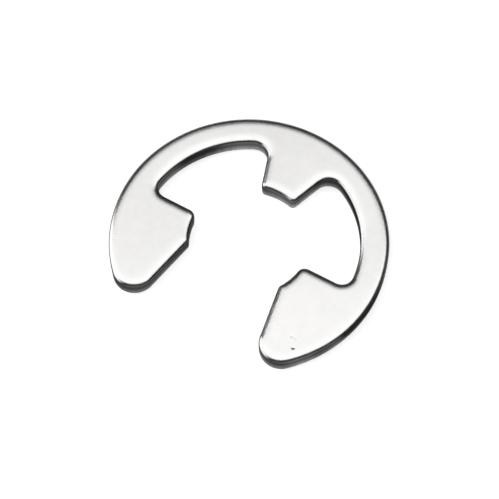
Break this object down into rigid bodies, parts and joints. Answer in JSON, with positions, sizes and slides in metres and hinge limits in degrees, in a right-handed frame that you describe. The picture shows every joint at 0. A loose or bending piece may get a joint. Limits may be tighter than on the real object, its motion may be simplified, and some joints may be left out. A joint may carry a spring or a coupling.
{
  "type": "e clip",
  "caption": "Flat E-shaped retaining clip, pushed sideways into a shaft groove, which it grips with a flared centre tooth and rounded lobes.",
  "frame": {"origin": "on the axis of the shaft that the clip grips, in the clip's lower face", "axes": "+Z along the shaft axis out of the rolled upper face, +Y from the seat towards the tooth's root, the mouth opens towards -Y"},
  "size_m": [0.0112, 0.0098, 0.0007],
  "materials": {
    "satin_steel": "tumbled satin, pale silver, with darker sheared edges"
  },
  "bodies": {
    "root": {"e_clip": "satin_steel"}
  },
  "joints": []
}
